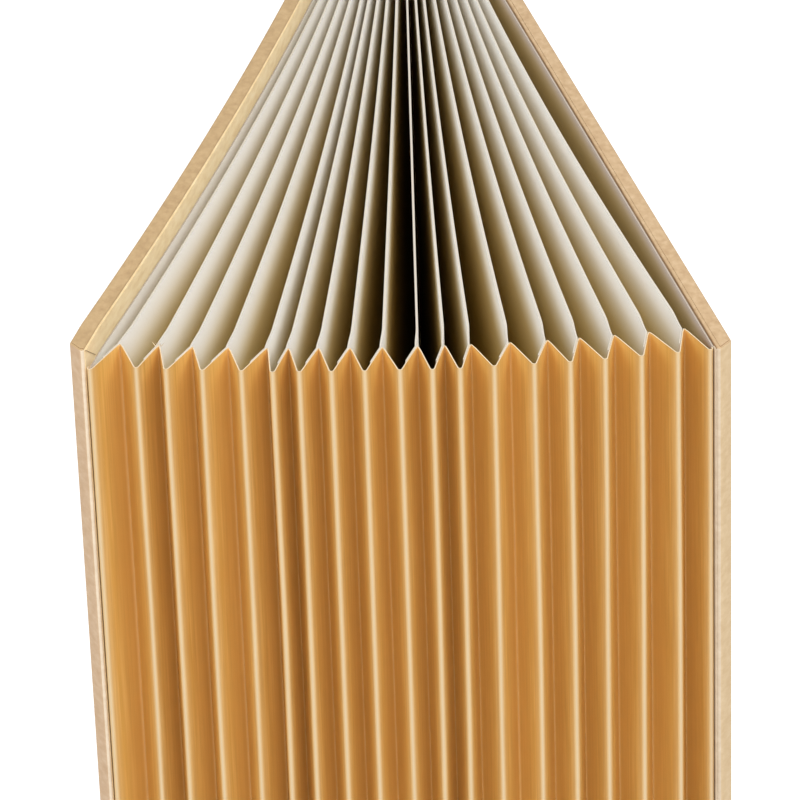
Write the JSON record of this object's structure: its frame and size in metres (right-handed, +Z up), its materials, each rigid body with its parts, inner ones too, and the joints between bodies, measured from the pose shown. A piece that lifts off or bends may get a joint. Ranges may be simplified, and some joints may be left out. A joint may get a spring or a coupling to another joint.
{
  "type": "expanding file folder",
  "caption": "Upright expanding file with board covers, pleated kraft gusset and cream dividers, spread open as a fan.",
  "frame": {"origin": "centre of the folder's bounding box at the bottom edges of the covers", "axes": "+Z up along the covers' edges, -Y out of the spread front of the fan, +X from the left cover to the right one"},
  "size_m": [0.1148, 0.2409, 0.3155],
  "materials": {
    "kraft_gusset": "uncoated kraft paper, pleated",
    "kraft_cover": "kraft paper over solid board",
    "cream_divider": "uncoated cream card",
    "cream_lining": "uncoated cream lining paper"
  },
  "bodies": {
    "left_cover": {"left_cover": "kraft_cover", "left_lining": "cream_lining", "bottom_gusset": "kraft_gusset", "rear_gusset": "kraft_gusset"},
    "divider_01": {"divider_01": "cream_divider"},
    "divider_02": {"divider_02": "cream_divider"},
    "divider_03": {"divider_03": "cream_divider"},
    "divider_04": {"divider_04": "cream_divider"},
    "divider_05": {"divider_05": "cream_divider"},
    "divider_06": {"divider_06": "cream_divider"},
    "divider_07": {"divider_07": "cream_divider"},
    "divider_08": {"divider_08": "cream_divider"},
    "divider_09": {"divider_09": "cream_divider"},
    "divider_10": {"divider_10": "cream_divider"},
    "divider_11": {"divider_11": "cream_divider"},
    "divider_12": {"divider_12": "cream_divider"},
    "divider_13": {"divider_13": "cream_divider"},
    "divider_14": {"divider_14": "cream_divider"},
    "divider_15": {"divider_15": "cream_divider"},
    "divider_16": {"divider_16": "cream_divider"},
    "divider_17": {"divider_17": "cream_divider"},
    "divider_18": {"divider_18": "cream_divider"},
    "right_cover": {"right_cover": "kraft_cover", "right_lining": "cream_lining"},
    "pleat_01_left": {"pleat_01_left": "kraft_gusset"},
    "pleat_01_right": {"pleat_01_right": "kraft_gusset"},
    "pleat_02_left": {"pleat_02_left": "kraft_gusset"},
    "pleat_02_right": {"pleat_02_right": "kraft_gusset"},
    "pleat_03_left": {"pleat_03_left": "kraft_gusset"},
    "pleat_03_right": {"pleat_03_right": "kraft_gusset"},
    "pleat_04_left": {"pleat_04_left": "kraft_gusset"},
    "pleat_04_right": {"pleat_04_right": "kraft_gusset"},
    "pleat_05_left": {"pleat_05_left": "kraft_gusset"},
    "pleat_05_right": {"pleat_05_right": "kraft_gusset"},
    "pleat_06_left": {"pleat_06_left": "kraft_gusset"},
    "pleat_06_right": {"pleat_06_right": "kraft_gusset"},
    "pleat_07_left": {"pleat_07_left": "kraft_gusset"},
    "pleat_07_right": {"pleat_07_right": "kraft_gusset"},
    "pleat_08_left": {"pleat_08_left": "kraft_gusset"},
    "pleat_08_right": {"pleat_08_right": "kraft_gusset"},
    "pleat_09_left": {"pleat_09_left": "kraft_gusset"},
    "pleat_09_right": {"pleat_09_right": "kraft_gusset"},
    "pleat_10_left": {"pleat_10_left": "kraft_gusset"},
    "pleat_10_right": {"pleat_10_right": "kraft_gusset"},
    "pleat_11_left": {"pleat_11_left": "kraft_gusset"},
    "pleat_11_right": {"pleat_11_right": "kraft_gusset"},
    "pleat_12_left": {"pleat_12_left": "kraft_gusset"},
    "pleat_12_right": {"pleat_12_right": "kraft_gusset"},
    "pleat_13_left": {"pleat_13_left": "kraft_gusset"},
    "pleat_13_right": {"pleat_13_right": "kraft_gusset"},
    "pleat_14_left": {"pleat_14_left": "kraft_gusset"},
    "pleat_14_right": {"pleat_14_right": "kraft_gusset"},
    "pleat_15_left": {"pleat_15_left": "kraft_gusset"},
    "pleat_15_right": {"pleat_15_right": "kraft_gusset"},
    "pleat_16_left": {"pleat_16_left": "kraft_gusset"},
    "pleat_16_right": {"pleat_16_right": "kraft_gusset"},
    "pleat_17_left": {"pleat_17_left": "kraft_gusset"},
    "pleat_17_right": {"pleat_17_right": "kraft_gusset"},
    "pleat_18_left": {"pleat_18_left": "kraft_gusset"},
    "pleat_18_right": {"pleat_18_right": "kraft_gusset"}
  },
  "joints": [
    {"name": "pocket_01_opening", "type": "hinge", "parent": "left_cover", "child": "divider_01", "pos_m": [-0.01074, 0.10836, 0.156], "axis": [0, 0, 1], "range_deg": [-0.4939, 0.2906]},
    {"name": "pocket_02_opening", "type": "hinge", "parent": "divider_01", "child": "divider_02", "pos_m": [-0.00956, 0.10815, 0.156], "axis": [0, 0, 1], "range_deg": [-1.28, 0.75], "deforming": ["bottom_gusset", "rear_gusset"]},
    {"name": "pocket_03_opening", "type": "hinge", "parent": "divider_02", "child": "divider_03", "pos_m": [-0.00837, 0.10796, 0.156], "axis": [0, 0, 1], "range_deg": [-1.13, 0.67]},
    {"name": "pocket_04_opening", "type": "hinge", "parent": "divider_03", "child": "divider_04", "pos_m": [-0.00718, 0.10781, 0.156], "axis": [0, 0, 1], "range_deg": [-1.21, 0.71]},
    {"name": "pocket_05_opening", "type": "hinge", "parent": "divider_04", "child": "divider_05", "pos_m": [-0.00599, 0.10768, 0.156], "axis": [0, 0, 1], "range_deg": [-1.34, 0.79]},
    {"name": "pocket_06_opening", "type": "hinge", "parent": "divider_05", "child": "divider_06", "pos_m": [-0.00479, 0.10758, 0.156], "axis": [0, 0, 1], "range_deg": [-0.5968, 0.3511]},
    {"name": "pocket_07_opening", "type": "hinge", "parent": "divider_06", "child": "divider_07", "pos_m": [-0.0036, 0.10749, 0.156], "axis": [0, 0, 1], "range_deg": [-0.97, 0.57]},
    {"name": "pocket_08_opening", "type": "hinge", "parent": "divider_07", "child": "divider_08", "pos_m": [-0.0024, 0.10743, 0.156], "axis": [0, 0, 1], "range_deg": [-1.01, 0.59]},
    {"name": "pocket_09_opening", "type": "hinge", "parent": "divider_08", "child": "divider_09", "pos_m": [-0.0012, 0.10739, 0.156], "axis": [0, 0, 1], "range_deg": [-1.05, 0.62]},
    {"name": "pocket_10_opening", "type": "hinge", "parent": "divider_09", "child": "divider_10", "pos_m": [0, 0.10738, 0.156], "axis": [0, 0, 1], "range_deg": [-1.17, 0.69]},
    {"name": "pocket_11_opening", "type": "hinge", "parent": "divider_10", "child": "divider_11", "pos_m": [0.0012, 0.10739, 0.156], "axis": [0, 0, 1], "range_deg": [-0.82, 0.48]},
    {"name": "pocket_12_opening", "type": "hinge", "parent": "divider_11", "child": "divider_12", "pos_m": [0.0024, 0.10742, 0.156], "axis": [0, 0, 1], "range_deg": [-0.8, 0.47]},
    {"name": "pocket_13_opening", "type": "hinge", "parent": "divider_12", "child": "divider_13", "pos_m": [0.0036, 0.10747, 0.156], "axis": [0, 0, 1], "range_deg": [-1.34, 0.79]},
    {"name": "pocket_14_opening", "type": "hinge", "parent": "divider_13", "child": "divider_14", "pos_m": [0.0048, 0.10756, 0.156], "axis": [0, 0, 1], "range_deg": [-1.26, 0.74]},
    {"name": "pocket_15_opening", "type": "hinge", "parent": "divider_14", "child": "divider_15", "pos_m": [0.00599, 0.10767, 0.156], "axis": [0, 0, 1], "range_deg": [-1.05, 0.62]},
    {"name": "pocket_16_opening", "type": "hinge", "parent": "divider_15", "child": "divider_16", "pos_m": [0.00718, 0.1078, 0.156], "axis": [0, 0, 1], "range_deg": [-1.17, 0.69]},
    {"name": "pocket_17_opening", "type": "hinge", "parent": "divider_16", "child": "divider_17", "pos_m": [0.00837, 0.10796, 0.156], "axis": [0, 0, 1], "range_deg": [-1.17, 0.69]},
    {"name": "pocket_18_opening", "type": "hinge", "parent": "divider_17", "child": "divider_18", "pos_m": [0.00956, 0.10815, 0.156], "axis": [0, 0, 1], "range_deg": [-1.19, 0.7]},
    {"name": "pocket_19_opening", "type": "hinge", "parent": "divider_18", "child": "right_cover", "pos_m": [0.01074, 0.10837, 0.156], "axis": [0, 0, 1], "range_deg": [-0.4116, 0.2421]},
    {"name": "pleat_01_left_fold", "type": "hinge", "parent": "divider_01", "child": "pleat_01_left", "pos_m": [-0.04953, -0.10616, 0.156], "axis": [0, 0, -1], "range_deg": [-11.99, 7.05]},
    {"name": "pleat_01_right_fold", "type": "hinge", "parent": "divider_01", "child": "pleat_01_right", "pos_m": [-0.04874, -0.1063, 0.156], "axis": [0, 0, 1], "range_deg": [-16.47, 9.69]},
    {"name": "pleat_02_left_fold", "type": "hinge", "parent": "divider_02", "child": "pleat_02_left", "pos_m": [-0.04269, -0.10732, 0.156], "axis": [0, 0, -1], "range_deg": [-16.47, 9.69]},
    {"name": "pleat_02_right_fold", "type": "hinge", "parent": "divider_02", "child": "pleat_02_right", "pos_m": [-0.0419, -0.10744, 0.156], "axis": [0, 0, 1], "range_deg": [-13.66, 8.04]},
    {"name": "pleat_03_left_fold", "type": "hinge", "parent": "divider_03", "child": "pleat_03_left", "pos_m": [-0.03677, -0.10818, 0.156], "axis": [0, 0, -1], "range_deg": [-13.66, 8.04]},
    {"name": "pleat_03_right_fold", "type": "hinge", "parent": "divider_03", "child": "pleat_03_right", "pos_m": [-0.03598, -0.10828, 0.156], "axis": [0, 0, 1], "range_deg": [-14.68, 8.63]},
    {"name": "pleat_04_left_fold", "type": "hinge", "parent": "divider_04", "child": "pleat_04_left", "pos_m": [-0.03049, -0.10894, 0.156], "axis": [0, 0, -1], "range_deg": [-14.68, 8.63]},
    {"name": "pleat_04_right_fold", "type": "hinge", "parent": "divider_04", "child": "pleat_04_right", "pos_m": [-0.02969, -0.10903, 0.156], "axis": [0, 0, 1], "range_deg": [-16.21, 9.54]},
    {"name": "pleat_05_left_fold", "type": "hinge", "parent": "divider_05", "child": "pleat_05_left", "pos_m": [-0.02367, -0.1096, 0.156], "axis": [0, 0, -1], "range_deg": [-16.21, 9.54]},
    {"name": "pleat_05_right_fold", "type": "hinge", "parent": "divider_05", "child": "pleat_05_right", "pos_m": [-0.02288, -0.10967, 0.156], "axis": [0, 0, 1], "range_deg": [-7.16, 4.21]},
    {"name": "pleat_06_left_fold", "type": "hinge", "parent": "divider_06", "child": "pleat_06_left", "pos_m": [-0.01996, -0.10989, 0.156], "axis": [0, 0, -1], "range_deg": [-7.16, 4.21]},
    {"name": "pleat_06_right_fold", "type": "hinge", "parent": "divider_06", "child": "pleat_06_right", "pos_m": [-0.01917, -0.10995, 0.156], "axis": [0, 0, 1], "range_deg": [-11.65, 6.85]},
    {"name": "pleat_07_left_fold", "type": "hinge", "parent": "divider_07", "child": "pleat_07_left", "pos_m": [-0.01469, -0.11022, 0.156], "axis": [0, 0, -1], "range_deg": [-11.65, 6.85]},
    {"name": "pleat_07_right_fold", "type": "hinge", "parent": "divider_07", "child": "pleat_07_right", "pos_m": [-0.01389, -0.11027, 0.156], "axis": [0, 0, 1], "range_deg": [-12.15, 7.15]},
    {"name": "pleat_08_left_fold", "type": "hinge", "parent": "divider_08", "child": "pleat_08_left", "pos_m": [-0.00924, -0.11046, 0.156], "axis": [0, 0, -1], "range_deg": [-12.15, 7.15]},
    {"name": "pleat_08_right_fold", "type": "hinge", "parent": "divider_08", "child": "pleat_08_right", "pos_m": [-0.00844, -0.11049, 0.156], "axis": [0, 0, 1], "range_deg": [-12.65, 7.44]},
    {"name": "pleat_09_left_fold", "type": "hinge", "parent": "divider_09", "child": "pleat_09_left", "pos_m": [-0.00361, -0.11059, 0.156], "axis": [0, 0, -1], "range_deg": [-12.65, 7.44]},
    {"name": "pleat_09_right_fold", "type": "hinge", "parent": "divider_09", "child": "pleat_09_right", "pos_m": [-0.00281, -0.1106, 0.156], "axis": [0, 0, 1], "range_deg": [-14.17, 8.34]},
    {"name": "pleat_10_left_fold", "type": "hinge", "parent": "divider_10", "child": "pleat_10_left", "pos_m": [0.00255, -0.11061, 0.156], "axis": [0, 0, -1], "range_deg": [-14.17, 8.34]},
    {"name": "pleat_10_right_fold", "type": "hinge", "parent": "divider_10", "child": "pleat_10_right", "pos_m": [0.00335, -0.1106, 0.156], "axis": [0, 0, 1], "range_deg": [-9.89, 5.82]},
    {"name": "pleat_11_left_fold", "type": "hinge", "parent": "divider_11", "child": "pleat_11_left", "pos_m": [0.00722, -0.11052, 0.156], "axis": [0, 0, -1], "range_deg": [-9.89, 5.82]},
    {"name": "pleat_11_right_fold", "type": "hinge", "parent": "divider_11", "child": "pleat_11_right", "pos_m": [0.00802, -0.1105, 0.156], "axis": [0, 0, 1], "range_deg": [-9.64, 5.67]},
    {"name": "pleat_12_left_fold", "type": "hinge", "parent": "divider_12", "child": "pleat_12_left", "pos_m": [0.01181, -0.11037, 0.156], "axis": [0, 0, -1], "range_deg": [-9.64, 5.67]},
    {"name": "pleat_12_right_fold", "type": "hinge", "parent": "divider_12", "child": "pleat_12_right", "pos_m": [0.01261, -0.11034, 0.156], "axis": [0, 0, 1], "range_deg": [-16.21, 9.54]},
    {"name": "pleat_13_left_fold", "type": "hinge", "parent": "divider_13", "child": "pleat_13_left", "pos_m": [0.01865, -0.11001, 0.156], "axis": [0, 0, -1], "range_deg": [-16.21, 9.54]},
    {"name": "pleat_13_right_fold", "type": "hinge", "parent": "divider_13", "child": "pleat_13_right", "pos_m": [0.01945, -0.10995, 0.156], "axis": [0, 0, 1], "range_deg": [-15.19, 8.93]},
    {"name": "pleat_14_left_fold", "type": "hinge", "parent": "divider_14", "child": "pleat_14_left", "pos_m": [0.02513, -0.10949, 0.156], "axis": [0, 0, -1], "range_deg": [-15.19, 8.93]},
    {"name": "pleat_14_right_fold", "type": "hinge", "parent": "divider_14", "child": "pleat_14_right", "pos_m": [0.02593, -0.10942, 0.156], "axis": [0, 0, 1], "range_deg": [-12.65, 7.44]},
    {"name": "pleat_15_left_fold", "type": "hinge", "parent": "divider_15", "child": "pleat_15_left", "pos_m": [0.03073, -0.10892, 0.156], "axis": [0, 0, -1], "range_deg": [-12.65, 7.44]},
    {"name": "pleat_15_right_fold", "type": "hinge", "parent": "divider_15", "child": "pleat_15_right", "pos_m": [0.03153, -0.10883, 0.156], "axis": [0, 0, 1], "range_deg": [-14.17, 8.34]},
    {"name": "pleat_16_left_fold", "type": "hinge", "parent": "divider_16", "child": "pleat_16_left", "pos_m": [0.03684, -0.10817, 0.156], "axis": [0, 0, -1], "range_deg": [-14.17, 8.34]},
    {"name": "pleat_16_right_fold", "type": "hinge", "parent": "divider_16", "child": "pleat_16_right", "pos_m": [0.03763, -0.10806, 0.156], "axis": [0, 0, 1], "range_deg": [-14.17, 8.34]},
    {"name": "pleat_17_left_fold", "type": "hinge", "parent": "divider_17", "child": "pleat_17_left", "pos_m": [0.04293, -0.10728, 0.156], "axis": [0, 0, -1], "range_deg": [-14.17, 8.34]},
    {"name": "pleat_17_right_fold", "type": "hinge", "parent": "divider_17", "child": "pleat_17_right", "pos_m": [0.04372, -0.10715, 0.156], "axis": [0, 0, 1], "range_deg": [-14.42, 8.49]},
    {"name": "pleat_18_left_fold", "type": "hinge", "parent": "divider_18", "child": "pleat_18_left", "pos_m": [0.04908, -0.10623, 0.156], "axis": [0, 0, -1], "range_deg": [-14.42, 8.49]},
    {"name": "pleat_18_right_fold", "type": "hinge", "parent": "divider_18", "child": "pleat_18_right", "pos_m": [0.04987, -0.10609, 0.156], "axis": [0, 0, 1], "range_deg": [-9.96, 5.86]}
  ],
  "couplings": [
    {"joint": "pocket_01_opening", "follows": "pocket_02_opening", "ratio": 0.36364},
    {"joint": "pocket_03_opening", "follows": "pocket_02_opening", "ratio": 0.83333},
    {"joint": "pocket_04_opening", "follows": "pocket_02_opening", "ratio": 0.89394},
    {"joint": "pocket_05_opening", "follows": "pocket_02_opening", "ratio": 0.98485},
    {"joint": "pocket_06_opening", "follows": "pocket_02_opening", "ratio": 0.43939},
    {"joint": "pocket_07_opening", "follows": "pocket_02_opening", "ratio": 0.71212},
    {"joint": "pocket_08_opening", "follows": "pocket_02_opening", "ratio": 0.74242},
    {"joint": "pocket_09_opening", "follows": "pocket_02_opening", "ratio": 0.77273},
    {"joint": "pocket_10_opening", "follows": "pocket_02_opening", "ratio": 0.86364},
    {"joint": "pocket_11_opening", "follows": "pocket_02_opening", "ratio": 0.60606},
    {"joint": "pocket_12_opening", "follows": "pocket_02_opening", "ratio": 0.59091},
    {"joint": "pocket_13_opening", "follows": "pocket_02_opening", "ratio": 0.98485},
    {"joint": "pocket_14_opening", "follows": "pocket_02_opening", "ratio": 0.92424},
    {"joint": "pocket_15_opening", "follows": "pocket_02_opening", "ratio": 0.77273},
    {"joint": "pocket_16_opening", "follows": "pocket_02_opening", "ratio": 0.86364},
    {"joint": "pocket_17_opening", "follows": "pocket_02_opening", "ratio": 0.86364},
    {"joint": "pocket_18_opening", "follows": "pocket_02_opening", "ratio": 0.87879},
    {"joint": "pocket_19_opening", "follows": "pocket_02_opening", "ratio": 0.30303},
    {"joint": "pleat_01_left_fold", "follows": "pocket_02_opening", "ratio": 8.8275},
    {"joint": "pleat_01_right_fold", "follows": "pocket_02_opening", "ratio": 12.125},
    {"joint": "pleat_02_left_fold", "follows": "pocket_02_opening", "ratio": 12.125},
    {"joint": "pleat_02_right_fold", "follows": "pocket_02_opening", "ratio": 10.059},
    {"joint": "pleat_03_left_fold", "follows": "pocket_02_opening", "ratio": 10.059},
    {"joint": "pleat_03_right_fold", "follows": "pocket_02_opening", "ratio": 10.807},
    {"joint": "pleat_04_left_fold", "follows": "pocket_02_opening", "ratio": 10.807},
    {"joint": "pleat_04_right_fold", "follows": "pocket_02_opening", "ratio": 11.936},
    {"joint": "pleat_05_left_fold", "follows": "pocket_02_opening", "ratio": 11.936},
    {"joint": "pleat_05_right_fold", "follows": "pocket_02_opening", "ratio": 5.2689},
    {"joint": "pleat_06_left_fold", "follows": "pocket_02_opening", "ratio": 5.2689},
    {"joint": "pleat_06_right_fold", "follows": "pocket_02_opening", "ratio": 8.5732},
    {"joint": "pleat_07_left_fold", "follows": "pocket_02_opening", "ratio": 8.5732},
    {"joint": "pleat_07_right_fold", "follows": "pocket_02_opening", "ratio": 8.9435},
    {"joint": "pleat_08_left_fold", "follows": "pocket_02_opening", "ratio": 8.9435},
    {"joint": "pleat_08_right_fold", "follows": "pocket_02_opening", "ratio": 9.3145},
    {"joint": "pleat_09_left_fold", "follows": "pocket_02_opening", "ratio": 9.3145},
    {"joint": "pleat_09_right_fold", "follows": "pocket_02_opening", "ratio": 10.432},
    {"joint": "pleat_10_left_fold", "follows": "pocket_02_opening", "ratio": 10.432},
    {"joint": "pleat_10_right_fold", "follows": "pocket_02_opening", "ratio": 7.2828},
    {"joint": "pleat_11_left_fold", "follows": "pocket_02_opening", "ratio": 7.2828},
    {"joint": "pleat_11_right_fold", "follows": "pocket_02_opening", "ratio": 7.0991},
    {"joint": "pleat_12_left_fold", "follows": "pocket_02_opening", "ratio": 7.0991},
    {"joint": "pleat_12_right_fold", "follows": "pocket_02_opening", "ratio": 11.936},
    {"joint": "pleat_13_left_fold", "follows": "pocket_02_opening", "ratio": 11.936},
    {"joint": "pleat_13_right_fold", "follows": "pocket_02_opening", "ratio": 11.182},
    {"joint": "pleat_14_left_fold", "follows": "pocket_02_opening", "ratio": 11.182},
    {"joint": "pleat_14_right_fold", "follows": "pocket_02_opening", "ratio": 9.3145},
    {"joint": "pleat_15_left_fold", "follows": "pocket_02_opening", "ratio": 9.3145},
    {"joint": "pleat_15_right_fold", "follows": "pocket_02_opening", "ratio": 10.432},
    {"joint": "pleat_16_left_fold", "follows": "pocket_02_opening", "ratio": 10.432},
    {"joint": "pleat_16_right_fold", "follows": "pocket_02_opening", "ratio": 10.432},
    {"joint": "pleat_17_left_fold", "follows": "pocket_02_opening", "ratio": 10.432},
    {"joint": "pleat_17_right_fold", "follows": "pocket_02_opening", "ratio": 10.62},
    {"joint": "pleat_18_left_fold", "follows": "pocket_02_opening", "ratio": 10.62},
    {"joint": "pleat_18_right_fold", "follows": "pocket_02_opening", "ratio": 7.3303}
  ]
}
